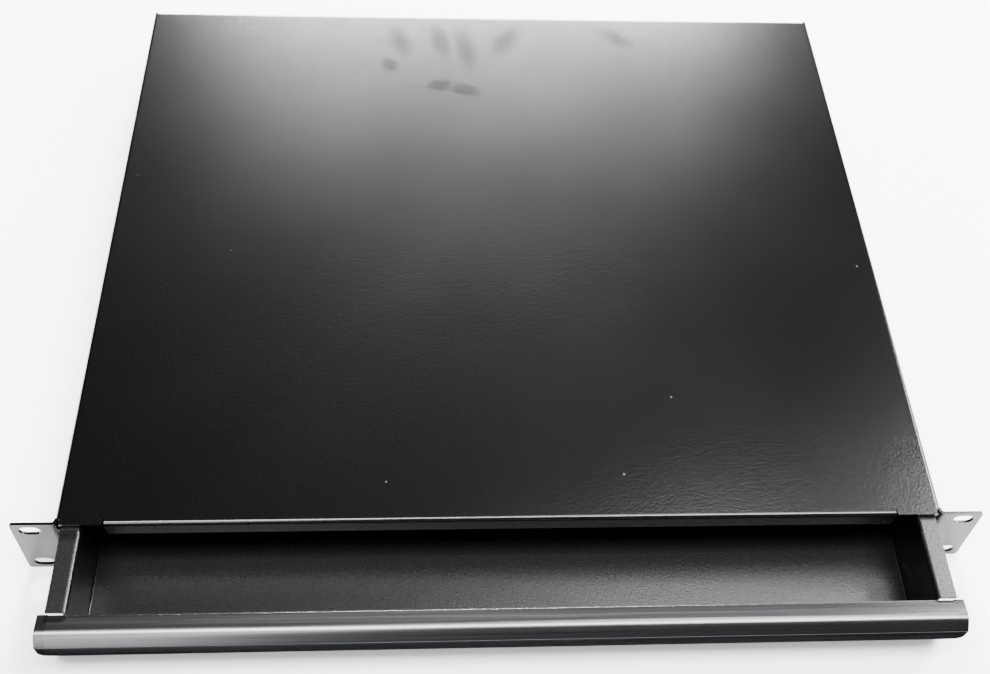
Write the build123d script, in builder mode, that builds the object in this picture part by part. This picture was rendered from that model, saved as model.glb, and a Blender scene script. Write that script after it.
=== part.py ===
from build123d import *
import os

# A one-unit rack drawer, in millimetres, drawn pulled out a little.
# X runs across the rack, Y runs back into it and Z points up.
# The origin is the middle of the four rack slots, on the rear face of the ears.

# Case, a folded cover that carries the ears, closed by a shallow base
case_width = 440.0
case_height = 43.6
case_depth = 381.0
case_sheet = 1.5
case_fold_radius = 0.8
relief_width = 0.7
lip_inset = 23.7
lip_height = 9.5
lip_fold_radius = 0.5
base_sheet = 1.2
base_fold_radius = 0.8
base_flange_gap = 0.3
base_rear_flange_height = 12.0

# Ears, with the slots of the rack standard: 482.6 across the ears, slots 465.1 by 31.75 apart
ear_reach = 21.3
ear_corner_radius = 1.5
ear_fold_radius = 1.5
slot_inset = 8.75
slot_drop = 5.925
slot_length = 10.5
slot_height = 7.0

# Drawer tray, one folded sheet with flanges turned out over the slides
tray_sheet = 1.2
tray_fold_radius = 0.8
tray_rear_gap = 27.7
tray_flange_reach = 8.5
tray_top_gap = 1.4
tray_floor_gap = 1.1
tray_front_drop = 2.7
closing_gap = 0.5
drawer_opening = 43.7

# Ball slides between the tray and the case, two members on each side
slide_edge_gap = 8.3
slide_thickness = 10.0
slide_sheet = 1.0
slide_setback = 5.0
slide_rear_gap = 26.0
slide_corner_radius = 1.5
ball_radius = 2.0
ball_clearance = 0.1
ball_offset = 3.5
balls_per_row = 4
cage_length = 84.6
cage_end = 12.3
cage_sheet = 0.4
race_wrap = 27.0
cage_sheet_offset = 3.0
cage_edge_offset = 1.2
cage_shoulder_gap = 1.0
cage_shoulder_slope = 1.3
cage_flange_drop = 1.1
cage_flange_end = 6.0
cage_fold_radius = 0.5
pocket_clearance = 0.1
tab_reach = 2.8
tab_half = 3.5
tab_gap = 0.3
tab_screw_gap = 0.4
bumper_length = 7.5
bumper_edge_gap = 0.9
bumper_radius = 1.0
bumper_side_gap = 0.4

# Handle bar, one hollow extrusion across the whole front
handle_overhang = 1.0
handle_wall = 1.6
handle_lift = 1.5
handle_top_gap = 4.0
handle_toe_depth = 3.3
handle_nose_depth = 14.2
handle_nose_drop = 4.7
handle_ridge_depth = 8.3
handle_back_drop = 1.3
handle_toe_radius = 1.0
handle_nose_radius = 2.6
handle_ridge_radius = 3.2
handle_back_radius = 1.5
screw_rib_depth = 5.0
screw_rib_height = 9.0
end_cap_plate = 1.2
end_cap_plug = 6.0
end_cap_clearance = 0.15
end_cap_edge = 0.3

# Fasteners
screw_clearance = 0.1
slide_screw_radius = 2.0
slide_screw_head_radius = 4.0
slide_screw_head_height = 1.8
slide_screw_grip = 1.2
slide_screw_front_inset = 36.0
slide_screw_rear_inset = 58.0
tray_screw_front_inset = 60.0
tray_screw_rear_inset = 42.2
slide_screw_count = 3
base_screw_radius = 1.5
base_screw_head_radius = 2.8
base_screw_head_height = 1.7
base_screw_tip = 0.4
base_screw_front_inset = 30.0
base_screw_rear_inset = 31.0
base_screw_corner_inset = 40.0
base_screw_count = 3
base_nut_edge = 0.2
base_nut_height = 1.6
handle_screw_radius = 2.0
handle_screw_head_radius = 3.8
handle_screw_head_height = 2.2
handle_screw_height = 0.0
handle_screw_tip_gap = 0.6
handle_screw_inset = 31.5
handle_screw_count = 4
head_edge = 0.6

# Faces of the case that the rest is measured from
case_top = case_height / 2
case_bottom = -case_height / 2
case_side = case_width / 2
side_inner = case_side - case_sheet
case_front = -case_sheet
ceiling = case_top - case_sheet
floor_top = case_bottom + base_sheet
rear_inner = case_depth - case_sheet
cover_fold = case_fold_radius + case_sheet
rear_fold_start = case_depth - cover_fold
cover_flat = case_side - cover_fold
lip_width = case_width - 2 * lip_inset
lip_fold = lip_fold_radius + case_sheet
lip_relief_end = lip_width / 2 + relief_width
ear_fold = ear_fold_radius + case_sheet
ear_root = case_front + ear_fold
ear_span = case_width + 2 * ear_reach
slot_spacing_across = ear_span - 2 * slot_inset
slot_spacing_up = case_height - 2 * slot_drop
base_fold = base_fold_radius + base_sheet
base_flat = side_inner - base_fold
base_fold_start = rear_inner - base_fold

# Faces of the drawer, shut and as drawn
shut_front = case_front - closing_gap - tray_sheet
tray_front = shut_front - drawer_opening
tray_front_inner = tray_front + tray_sheet
tray_depth = rear_inner - tray_rear_gap - shut_front
tray_rear = tray_front + tray_depth
tray_side = side_inner - slide_thickness
tray_side_inner = tray_side - tray_sheet
tray_bottom = floor_top + tray_floor_gap
tray_top = ceiling - tray_top_gap
tray_fold = tray_fold_radius + tray_sheet
tray_wall_top = tray_top - tray_front_drop
flange_edge = tray_side + tray_flange_reach

# Ends of the slide members, and how far the drawer travels on them
slide_front = case_front + slide_setback
slide_rear = rear_inner - slide_rear_gap
slide_length = slide_rear - slide_front
inner_length = slide_length - bumper_length - tab_gap
inner_front = slide_front - drawer_opening
drawer_travel = inner_length - cage_length - 2 * (slide_sheet + tab_gap)
cage_shut_front = slide_front + slide_sheet + tab_gap + drawer_travel / 2
cage_front = cage_shut_front - drawer_opening / 2

# Heights inside a slide, from its middle up
slide_height = case_height - 2 * slide_edge_gap
race_radius = ball_radius + ball_clearance
ball_height = slide_height / 2 - slide_sheet - race_radius
pocket_radius = (ball_radius ** 2 - cage_flange_drop ** 2) ** 0.5 + pocket_clearance
cage_flange_level = ball_height - cage_flange_drop
cage_shoulder = ball_height - race_radius - slide_sheet - cage_shoulder_gap
cage_web_half = cage_shoulder - cage_shoulder_slope
bumper_half = ball_height - bumper_edge_gap
inner_tab_tip = slide_sheet + slide_screw_grip + tab_screw_gap

# Ends and heights of the handle bar
handle_bottom = case_bottom + handle_lift
handle_ridge_height = case_height - handle_lift - handle_top_gap
handle_nose_height = handle_ridge_height - handle_nose_drop
handle_back_height = handle_ridge_height - handle_back_drop
handle_length = case_width + 2 * handle_overhang
handle_half = handle_length / 2
bar_half = handle_half - end_cap_plate

# Flange of the base, and the nuts and screws in it
base_flange_height = slide_edge_gap - base_flange_gap
base_nut_radius = (base_flange_height - base_fold - base_nut_edge) / 2
base_screw_level = case_bottom + base_flange_height - base_nut_edge - base_nut_radius


def spread(start, end, count):
    """Even places from the first to the last."""
    step = (end - start) / (count - 1)
    return [start + step * number for number in range(count)]


def folded_sheet(points, radius, sheet, side=Side.RIGHT):
    """Section of a folded sheet, from the points along one of its faces."""
    with BuildSketch() as section:
        with BuildLine():
            FilletPolyline(*points, radius=radius)
            offset(amount=sheet, side=side)
        make_face()
    return section.sketch


def across(place):
    """Plane that looks along the rack, at one place from front to back."""
    return Plane.XZ.offset(-place)


def beside(distance, height):
    """Point of a slide section, measured from the right case wall inwards."""
    return (side_inner - distance, height)


def mirrored(part):
    """The left-hand twin of a right-hand piece."""
    with BuildPart() as twin:
        mirror(part, about=Plane.YZ)
    return twin.part


def screws(places, shank_radius, shank_length, head_radius, head_height):
    """Pan-head screws, one on each plane, with the head standing on the plane."""
    with BuildPart() as one:
        with BuildSketch(Plane.XZ):
            with BuildLine():
                Polyline(
                    (0, -shank_length),
                    (shank_radius, -shank_length),
                    (shank_radius, 0),
                    (head_radius, 0),
                    (head_radius, head_height - head_edge),
                    (head_radius - head_edge, head_height),
                    (0, head_height),
                    close=True,
                )
            make_face()
        revolve(axis=Axis.Z)
    with BuildPart() as group:
        with Locations(*places):
            add(one.part)
    return group.part


def save(part, name):
    """Label a finished piece and write it to its own file."""
    part.label = name
    export_step(part, "parts/" + name + ".step")


os.makedirs("parts", exist_ok=True)

# Places of the fasteners, as seen from the side or along the rack
slide_screw_places = spread(
    slide_front + slide_screw_front_inset, slide_rear - slide_screw_rear_inset, slide_screw_count
)
tray_screw_places = spread(
    inner_front + tray_screw_front_inset,
    inner_front + inner_length - tray_screw_rear_inset,
    slide_screw_count,
)
base_side_places = spread(base_screw_front_inset, case_depth - base_screw_rear_inset, base_screw_count)
base_corner = case_side - base_screw_corner_inset
handle_corner = tray_side - handle_screw_inset
slide_screw_points = [(place, 0) for place in slide_screw_places]
tray_screw_points = [(place, 0) for place in tray_screw_places]
base_side_points = [(place, base_screw_level) for place in base_side_places]
base_rear_points = [
    (place, base_screw_level) for place in spread(-base_corner, base_corner, base_screw_count)
]
handle_screw_points = [
    (place, handle_screw_height) for place in spread(-handle_corner, handle_corner, handle_screw_count)
]

# Case cover: top, sides and rear wall of one folded sheet, with the ears and the front lip
with BuildPart() as case_cover:
    with BuildSketch(across(ear_root)):
        add(
            folded_sheet(
                [
                    (-case_side, case_bottom),
                    (-case_side, case_top),
                    (case_side, case_top),
                    (case_side, case_bottom),
                ],
                cover_fold,
                case_sheet,
            )
        )
    extrude(amount=ear_root - case_depth)
    with BuildSketch(across(rear_fold_start)):
        with Locations((0, case_top - case_sheet / 2)):
            Rectangle(2 * cover_flat, case_sheet)
    extrude(amount=rear_fold_start - case_depth, mode=Mode.SUBTRACT)
    with BuildSketch(Plane.YZ.offset(-cover_flat)):
        add(
            folded_sheet(
                [
                    (rear_fold_start - cover_fold, case_top),
                    (case_depth, case_top),
                    (case_depth, case_bottom),
                ],
                cover_fold,
                case_sheet,
            )
        )
    extrude(amount=2 * cover_flat)

    # Lip folded down over the drawer, with the raw edge of the top on each side of it
    with BuildSketch(Plane.YZ.offset(-lip_width / 2)):
        add(
            folded_sheet(
                [
                    (case_front, case_top - lip_height),
                    (case_front, case_top),
                    (ear_root + lip_fold, case_top),
                ],
                lip_fold,
                case_sheet,
            )
        )
    extrude(amount=lip_width)
    with BuildSketch(across(case_front)):
        with Locations(((lip_relief_end + cover_flat) / 2, case_top - case_sheet / 2)):
            Rectangle(cover_flat - lip_relief_end, case_sheet)
        mirror(about=Plane.YZ)
    extrude(amount=case_front - ear_root)

    # Ears folded outwards from the front of the sides
    with BuildSketch(Plane.XY.offset(case_bottom)):
        add(
            folded_sheet(
                [(side_inner, ear_root + relief_width), (side_inner, case_front), (ear_span / 2, case_front)],
                ear_fold,
                case_sheet,
                Side.LEFT,
            )
        )
        mirror(about=Plane.YZ)
    extrude(amount=case_height)
    with BuildSketch(across(case_front)):
        with GridLocations(ear_span - ear_corner_radius, case_height - ear_corner_radius, 2, 2):
            Rectangle(ear_corner_radius, ear_corner_radius)
        with GridLocations(ear_span - 2 * ear_corner_radius, case_height - 2 * ear_corner_radius, 2, 2):
            Circle(ear_corner_radius, mode=Mode.SUBTRACT)
        with GridLocations(slot_spacing_across, slot_spacing_up, 2, 2):
            SlotOverall(slot_length, slot_height)
    extrude(amount=-case_sheet, mode=Mode.SUBTRACT)

    # Screw holes for the slides and the base
    with BuildSketch(Plane.YZ):
        with Locations(*slide_screw_points):
            Circle(slide_screw_radius + screw_clearance)
        with Locations(*base_side_points):
            Circle(base_screw_radius + screw_clearance)
    extrude(amount=case_side, both=True, mode=Mode.SUBTRACT)
    with BuildSketch(across(rear_inner)):
        with Locations(*base_rear_points):
            Circle(base_screw_radius + screw_clearance)
    extrude(amount=-case_sheet, mode=Mode.SUBTRACT)
save(case_cover.part, "case_cover")

# Case base: a shallow pan that closes the underside, flanged up along the sides and the rear
with BuildPart() as case_base:
    with BuildSketch(across(case_front)):
        add(
            folded_sheet(
                [
                    (-side_inner, case_bottom + base_flange_height),
                    (-side_inner, case_bottom),
                    (side_inner, case_bottom),
                    (side_inner, case_bottom + base_flange_height),
                ],
                base_fold,
                base_sheet,
                Side.LEFT,
            )
        )
    extrude(amount=case_front - base_fold_start)
    with BuildSketch(Plane.YZ.offset(-base_flat)):
        add(
            folded_sheet(
                [
                    (base_fold_start - base_fold, case_bottom),
                    (rear_inner, case_bottom),
                    (rear_inner, case_bottom + base_rear_flange_height),
                ],
                base_fold,
                base_sheet,
                Side.LEFT,
            )
        )
    extrude(amount=2 * base_flat)
    with BuildSketch(Plane.YZ):
        with Locations(*base_side_points):
            Circle(base_screw_radius + screw_clearance)
    extrude(amount=case_side, both=True, mode=Mode.SUBTRACT)
    with BuildSketch(across(rear_inner - base_sheet)):
        with Locations(*base_rear_points):
            Circle(base_screw_radius + screw_clearance)
    extrude(amount=-base_sheet, mode=Mode.SUBTRACT)
save(case_base.part, "case_base")

# Tray: floor and four walls, with a flange turned out along the top of each side
with BuildPart() as drawer_tray:
    with BuildSketch(Plane.XY.offset(tray_bottom)):
        with Locations((0, (tray_front + tray_rear) / 2)):
            Rectangle(2 * tray_side, tray_depth)
    extrude(amount=tray_wall_top - tray_bottom)
    fillet(drawer_tray.faces().sort_by(Axis.Z)[0].edges(), tray_fold)
    offset(amount=-tray_sheet, openings=drawer_tray.faces().sort_by(Axis.Z)[-1])
    with BuildSketch(across(tray_front_inner)):
        add(
            folded_sheet(
                [
                    (tray_side_inner, tray_wall_top - tray_fold),
                    (tray_side_inner, tray_top),
                    (flange_edge, tray_top),
                ],
                tray_fold,
                tray_sheet,
            )
        )
        mirror(about=Plane.YZ)
    extrude(amount=2 * tray_sheet - tray_depth)
    with BuildSketch(across(tray_front)):
        with Locations(*handle_screw_points):
            Circle(handle_screw_radius + screw_clearance)
    extrude(amount=-tray_sheet, mode=Mode.SUBTRACT)
    with BuildSketch(Plane.YZ):
        with Locations(*tray_screw_points):
            Circle(slide_screw_radius + screw_clearance)
    extrude(amount=tray_side, both=True, mode=Mode.SUBTRACT)
save(drawer_tray.part, "drawer_tray")


def handle_outline():
    """Section of the bar: flat back, raked finger face, round nose and soft ridge."""
    with BuildSketch() as section:
        with BuildLine():
            FilletPolyline(
                (tray_front, handle_bottom),
                (tray_front - handle_toe_depth, handle_bottom),
                (tray_front - handle_nose_depth, handle_bottom + handle_nose_height),
                (tray_front - handle_ridge_depth, handle_bottom + handle_ridge_height),
                (tray_front, handle_bottom + handle_back_height),
                radius=[0, handle_toe_radius, handle_nose_radius, handle_ridge_radius, handle_back_radius],
                close=True,
            )
        make_face()
    return section.sketch


def screw_rib(clearance):
    """Section of the rib inside the bar that the screws bite into, with room around it."""
    depth = handle_wall + screw_rib_depth + clearance
    with BuildSketch() as section:
        with Locations((tray_front - depth / 2, handle_screw_height)):
            Rectangle(depth, screw_rib_height + 2 * clearance)
    return section.sketch


# Handle bar: a hollow extrusion with a screw rib along its back wall
with BuildPart() as handle_bar:
    with BuildSketch(Plane.YZ.offset(-bar_half)):
        add(handle_outline())
        offset(amount=-handle_wall, mode=Mode.SUBTRACT)
        add(screw_rib(0))
    extrude(amount=2 * bar_half)
    with BuildSketch(across(tray_front)):
        with Locations(*handle_screw_points):
            Circle(handle_screw_radius + screw_clearance)
    extrude(amount=handle_wall + screw_rib_depth, mode=Mode.SUBTRACT)
save(handle_bar.part, "handle_bar")

# End caps: a plate of the bar's outline with a plug that fills its mouth
with BuildPart() as end_cap:
    with BuildSketch(Plane.YZ.offset(bar_half)):
        add(handle_outline())
    extrude(amount=end_cap_plate)
    chamfer(end_cap.faces().sort_by(Axis.X)[-1].edges(), end_cap_edge)
    with BuildSketch(Plane.YZ.offset(bar_half)):
        add(handle_outline())
        offset(amount=-handle_wall - end_cap_clearance)
        add(screw_rib(end_cap_clearance), mode=Mode.SUBTRACT)
    extrude(amount=-end_cap_plug)
save(mirrored(end_cap.part), "handle_end_cap_left")
save(end_cap.part, "handle_end_cap_right")

# Outer slide member: a channel whose edges curl over the balls, with a stop tab in front
with BuildPart() as slide_outer:
    with BuildSketch(across(slide_front)):
        with BuildLine():
            FilletPolyline(
                beside(0, 0),
                beside(0, slide_height / 2),
                beside(ball_offset, slide_height / 2),
                radius=slide_corner_radius + slide_sheet,
            )
            CenterArc(beside(ball_offset, ball_height), race_radius + slide_sheet, 90, 90)
            offset(amount=slide_sheet, side=Side.LEFT)
        make_face()
        mirror(about=Plane.XZ)
    extrude(amount=-slide_length)
    with BuildSketch(across(slide_front)):
        with Locations(beside(slide_sheet + tab_reach / 2, 0)):
            Rectangle(tab_reach, 2 * tab_half)
    extrude(amount=-slide_sheet)
    with BuildSketch(Plane.YZ.offset(side_inner)):
        with Locations(*slide_screw_points):
            Circle(slide_screw_radius + screw_clearance)
    extrude(amount=-slide_sheet, mode=Mode.SUBTRACT)
save(mirrored(slide_outer.part), "slide_outer_left")
save(slide_outer.part, "slide_outer_right")

# Inner slide member: a channel with a groove along each edge and a stop tab at its rear end
with BuildPart() as slide_inner:
    with BuildSketch(across(inner_front)):
        with BuildLine():
            FilletPolyline(
                beside(slide_thickness, 0),
                beside(slide_thickness, ball_height - race_radius),
                beside(ball_offset, ball_height - race_radius),
                radius=slide_corner_radius + slide_sheet,
            )
            CenterArc(beside(ball_offset, ball_height), race_radius, -90, race_wrap)
            offset(amount=slide_sheet, side=Side.RIGHT)
        make_face()
        mirror(about=Plane.XZ)
    extrude(amount=-inner_length)
    with BuildSketch(across(inner_front + inner_length - slide_sheet)):
        with Locations(beside((inner_tab_tip + slide_thickness - slide_sheet) / 2, 0)):
            Rectangle(slide_thickness - slide_sheet - inner_tab_tip, 2 * tab_half)
    extrude(amount=-slide_sheet)
    with BuildSketch(Plane.YZ.offset(tray_side)):
        with Locations(*tray_screw_points):
            Circle(slide_screw_radius + screw_clearance)
    extrude(amount=slide_sheet, mode=Mode.SUBTRACT)
save(mirrored(slide_inner.part), "slide_inner_left")
save(slide_inner.part, "slide_inner_right")

# Ball cage: a ribbed strip between the members with a pocket for each ball
ball_places = spread(cage_front + cage_end, cage_front + cage_length - cage_end, balls_per_row)
with BuildPart() as slide_cage:
    with BuildSketch(across(cage_front)):
        add(
            folded_sheet(
                [
                    beside(cage_sheet_offset, 0),
                    beside(cage_sheet_offset, cage_web_half),
                    beside(cage_edge_offset, cage_shoulder),
                    beside(cage_edge_offset, cage_flange_level),
                    beside(cage_flange_end, cage_flange_level),
                ],
                cage_fold_radius,
                cage_sheet,
                Side.LEFT,
            )
        )
        mirror(about=Plane.XZ)
    extrude(amount=-cage_length)
    with BuildSketch(Plane.XY.offset(cage_flange_level)):
        with Locations(*[(side_inner - ball_offset, place) for place in ball_places]):
            Circle(pocket_radius)
    extrude(amount=-cage_sheet, mode=Mode.SUBTRACT)
    with BuildSketch(Plane.XY.offset(-cage_flange_level)):
        with Locations(*[(side_inner - ball_offset, place) for place in ball_places]):
            Circle(pocket_radius)
    extrude(amount=cage_sheet, mode=Mode.SUBTRACT)
save(mirrored(slide_cage.part), "slide_cage_left")
save(slide_cage.part, "slide_cage_right")

# Balls, an upper and a lower row in each cage
with BuildPart() as slide_balls:
    for row in (-ball_height, ball_height):
        with Locations(*[(side_inner - ball_offset, place, row) for place in ball_places]):
            Sphere(ball_radius)
save(mirrored(slide_balls.part), "slide_balls_left")
save(slide_balls.part, "slide_balls_right")

# Rubber bumpers in the rear ends of the outer members
with BuildPart() as slide_bumper:
    with BuildSketch(across(slide_rear - bumper_length)):
        with Locations(beside((slide_sheet + slide_thickness - bumper_side_gap) / 2, 0)):
            RectangleRounded(
                slide_thickness - bumper_side_gap - slide_sheet,
                2 * bumper_half,
                bumper_radius,
            )
    extrude(amount=-bumper_length)
save(mirrored(slide_bumper.part), "slide_bumper_left")
save(slide_bumper.part, "slide_bumper_right")

# Screws that hold the outer members to the case, with their heads outside
slide_screws = screws(
    [Plane((case_side, place, height), z_dir=(1, 0, 0)) for place, height in slide_screw_points],
    slide_screw_radius,
    case_sheet + slide_sheet + slide_screw_grip,
    slide_screw_head_radius,
    slide_screw_head_height,
)
save(mirrored(slide_screws), "slide_screws_left")
save(slide_screws, "slide_screws_right")

# Screws that hold the tray to the inner members, with their heads inside the tray
tray_screws = screws(
    [Plane((tray_side_inner, place, height), z_dir=(-1, 0, 0)) for place, height in tray_screw_points],
    slide_screw_radius,
    tray_sheet + slide_sheet + slide_screw_grip,
    slide_screw_head_radius,
    slide_screw_head_height,
)
save(mirrored(tray_screws), "tray_screws_left")
save(tray_screws, "tray_screws_right")

# Screws that hold the handle bar, driven from inside the tray
handle_screws = screws(
    [Plane((place, tray_front_inner, height), z_dir=(0, 1, 0)) for place, height in handle_screw_points],
    handle_screw_radius,
    tray_sheet + handle_wall + screw_rib_depth - handle_screw_tip_gap,
    handle_screw_head_radius,
    handle_screw_head_height,
)
save(handle_screws, "handle_screws")

# Screws and pressed-in nuts that hold the base in the cover
base_planes = [
    Plane((side * case_side, place, height), z_dir=(side, 0, 0))
    for side in (-1, 1)
    for place, height in base_side_points
] + [Plane((place, case_depth, height), z_dir=(0, 1, 0)) for place, height in base_rear_points]
base_screws = screws(
    base_planes,
    base_screw_radius,
    case_sheet + base_sheet + base_nut_height + base_screw_tip,
    base_screw_head_radius,
    base_screw_head_height,
)
save(base_screws, "base_screws")

with BuildPart() as base_nuts:
    for plane in base_planes:
        with BuildSketch(plane.offset(-case_sheet - base_sheet)):
            Circle(base_nut_radius)
            Circle(base_screw_radius + screw_clearance, mode=Mode.SUBTRACT)
        extrude(amount=-base_nut_height)
save(base_nuts.part, "base_nuts")
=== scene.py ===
"""Finishes and small pieces of a sliding rack drawer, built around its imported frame."""
import math

import bmesh
import bpy
from mathutils import Matrix, Vector


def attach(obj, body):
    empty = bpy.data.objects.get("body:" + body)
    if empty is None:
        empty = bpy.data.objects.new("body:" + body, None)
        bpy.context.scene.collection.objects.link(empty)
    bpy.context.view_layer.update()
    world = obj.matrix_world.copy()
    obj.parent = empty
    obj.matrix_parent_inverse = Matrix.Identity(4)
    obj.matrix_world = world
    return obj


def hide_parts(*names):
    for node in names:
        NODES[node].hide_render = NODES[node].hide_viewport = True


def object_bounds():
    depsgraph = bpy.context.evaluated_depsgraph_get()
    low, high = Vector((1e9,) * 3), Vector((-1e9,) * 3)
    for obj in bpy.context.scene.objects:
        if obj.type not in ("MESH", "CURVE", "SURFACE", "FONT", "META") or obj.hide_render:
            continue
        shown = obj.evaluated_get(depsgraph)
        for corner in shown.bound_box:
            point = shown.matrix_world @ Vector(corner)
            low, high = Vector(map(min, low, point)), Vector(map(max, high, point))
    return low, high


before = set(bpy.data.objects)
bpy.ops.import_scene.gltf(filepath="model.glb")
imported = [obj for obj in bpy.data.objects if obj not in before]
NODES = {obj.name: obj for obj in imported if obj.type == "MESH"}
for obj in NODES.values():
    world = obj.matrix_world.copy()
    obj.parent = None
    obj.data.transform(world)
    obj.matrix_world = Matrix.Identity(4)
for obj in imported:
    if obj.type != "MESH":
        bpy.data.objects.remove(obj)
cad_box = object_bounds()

bl_info = {
    "name": "Sliding Rack Drawer",
    "version": (1, 0, 0),
    "blender": (4, 5, 0),
    "location": "3D View > Sidebar > Rack Drawer",
    "description": "Finishes, screws and handle bar of a sliding rack drawer, around its frame",
    "category": "Object",
}

# End caps of the handle bar: length, rounding of the lower corner, and reach of the tab behind
CAP_LENGTH = 0.005
CAP_ROUND = 0.0045
CAP_BACK = 0.0013
TAB_REACH = 0.2082

# Handle bar: heights of its foot, back and rear lip, reach of the lip over the tray's wall, and the
# corners of its face, each with its depth before the tray, height and radius
BAR_FOOT = -0.0203
BAR_BACK = 0.0167
LIP_UNDERSIDE = 0.01625
LIP_REACH = 0.0005
BAR_FACE = (
    (0.0033, BAR_FOOT, 0.0008),
    (0.0134, 0.0036, 0.002),
    (0.01376, 0.0127, 0.0003),
    (0.0086, 0.0176, 0.006),
)

# Photograph's frame, and the camera that stands where the photograph was taken
PHOTO_WIDTH = 990
FOCAL_LENGTH_IN_PIXELS = 1282.31
OPTICAL_CENTRE_IN_PIXELS = (514.62, 320.54)
PHOTO_MIDDLE_IN_PIXELS = (495.0, 337.0)
SENSOR_WIDTH = 36.0
CAMERA_PLACE = (-0.03955, -0.30904, 0.58259)
CAMERA_AIM = (0.01019, 0.13911, 0.0)
CAMERA_ROLL = math.radians(4.918)


# Helpers for node trees


def add_node(tree, kind, inputs=None, **settings):
    """Adds a node, makes its settings and gives its inputs values or links."""
    node = tree.nodes.new(kind)
    for name, value in settings.items():
        setattr(node, name, value)
    for key, value in (inputs or {}).items():
        if isinstance(value, bpy.types.NodeSocket):
            tree.links.new(value, node.inputs[key])
        else:
            node.inputs[key].default_value = value
    return node


def calculate(tree, operation, first, second=0.0, clamp=False):
    """Adds a Math node and returns its result."""
    node = add_node(tree, "ShaderNodeMath", {0: first, 1: second}, operation=operation, use_clamp=clamp)
    return node.outputs[0]


def remap(tree, value, low, high, to_low=0.0, to_high=1.0):
    """Adds a Map Range node and returns its result."""
    inputs = {"Value": value, "From Min": low, "From Max": high, "To Min": to_low, "To Max": to_high}
    return add_node(tree, "ShaderNodeMapRange", inputs).outputs["Result"]


def blend_colours(tree, share, first, second):
    """Adds a Mix node for colours and returns its result."""
    inputs = {"Factor": share, 6: first, 7: second}
    return add_node(tree, "ShaderNodeMix", inputs, data_type="RGBA").outputs[2]


def open_group(name, inputs, outputs, kind="ShaderNodeTree"):
    """Starts a node group with named inputs and outputs."""
    tree = bpy.data.node_groups.new(name, kind)
    for label, socket_type, value in inputs:
        socket = tree.interface.new_socket(label, in_out="INPUT", socket_type=socket_type)
        if value is not None:
            socket.default_value = value
    for label, socket_type in outputs:
        tree.interface.new_socket(label, in_out="OUTPUT", socket_type=socket_type)
    return tree, tree.nodes.new("NodeGroupInput"), tree.nodes.new("NodeGroupOutput")


def once(name, build):
    """The node group of that name, built if it isn't there yet."""
    return bpy.data.node_groups.get(name) or build(name)


# Surface effects that several finishes share


def powder_grain(name):
    """Fine pebbled skin of a powder coat: a height, and a mask of lighter flecks that are partly grain tone
    and partly painted glints.
    """
    tree, given, result = open_group(
        name,
        [("Vector", "NodeSocketVector", None), ("Grain Size", "NodeSocketFloat", 0.0006)],
        [("Height", "NodeSocketFloat"), ("Grain Tone And Painted Glint", "NodeSocketFloat")],
    )
    scale = calculate(tree, "DIVIDE", 1.0, given.outputs["Grain Size"])
    placed = {"Vector": given.outputs["Vector"], "Scale": scale}
    pebbles = add_node(tree, "ShaderNodeTexVoronoi", placed, feature="SMOOTH_F1")
    waves = add_node(tree, "ShaderNodeTexNoise", {**placed, "Detail": 3.0, "Roughness": 0.62})
    dome = remap(tree, pebbles.outputs["Distance"], 0.75, 0.05)
    height = calculate(tree, "MULTIPLY_ADD", dome, 0.55)
    tree.links.new(waves.outputs["Fac"], height.node.inputs[2])
    tree.links.new(height, result.inputs["Height"])
    # Lighter flecks in the colour: partly the coat's grain tone, partly painted glints
    grain_tone_and_glint = remap(tree, waves.outputs["Fac"], 0.56, 0.72)
    tree.links.new(grain_tone_and_glint, result.inputs["Grain Tone And Painted Glint"])
    return tree


def drawn_streaks(name):
    """Lengthwise streaks of drawn, rolled or brushed metal: a height and a shade."""
    tree, given, result = open_group(
        name,
        [
            ("Vector", "NodeSocketVector", None),
            ("Streak Width", "NodeSocketFloat", 0.0004),
            ("Streak Length", "NodeSocketFloat", 0.06),
        ],
        [("Height", "NodeSocketFloat"), ("Shade", "NodeSocketFloat")],
    )
    across = calculate(tree, "DIVIDE", 1.0, given.outputs["Streak Width"])
    along = calculate(tree, "DIVIDE", 1.0, given.outputs["Streak Length"])
    stretch = add_node(tree, "ShaderNodeCombineXYZ", {"X": along, "Y": across, "Z": across})
    stretched = add_node(
        tree,
        "ShaderNodeVectorMath",
        {0: given.outputs["Vector"], 1: stretch.outputs["Vector"]},
        operation="MULTIPLY",
    )
    fine = add_node(
        tree,
        "ShaderNodeTexNoise",
        {"Vector": stretched.outputs["Vector"], "Scale": 1.0, "Detail": 4.0, "Roughness": 0.6},
    )
    broad = add_node(
        tree,
        "ShaderNodeTexNoise",
        {"Vector": stretched.outputs["Vector"], "Scale": 0.22, "Detail": 2.0, "Roughness": 0.5},
    )
    tree.links.new(fine.outputs["Fac"], result.inputs["Height"])
    shade = calculate(tree, "MULTIPLY_ADD", fine.outputs["Fac"], 0.45)
    halved = calculate(tree, "MULTIPLY", broad.outputs["Fac"], 0.55)
    tree.links.new(halved, shade.node.inputs[2])
    tree.links.new(shade, result.inputs["Shade"])
    return tree


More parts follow.
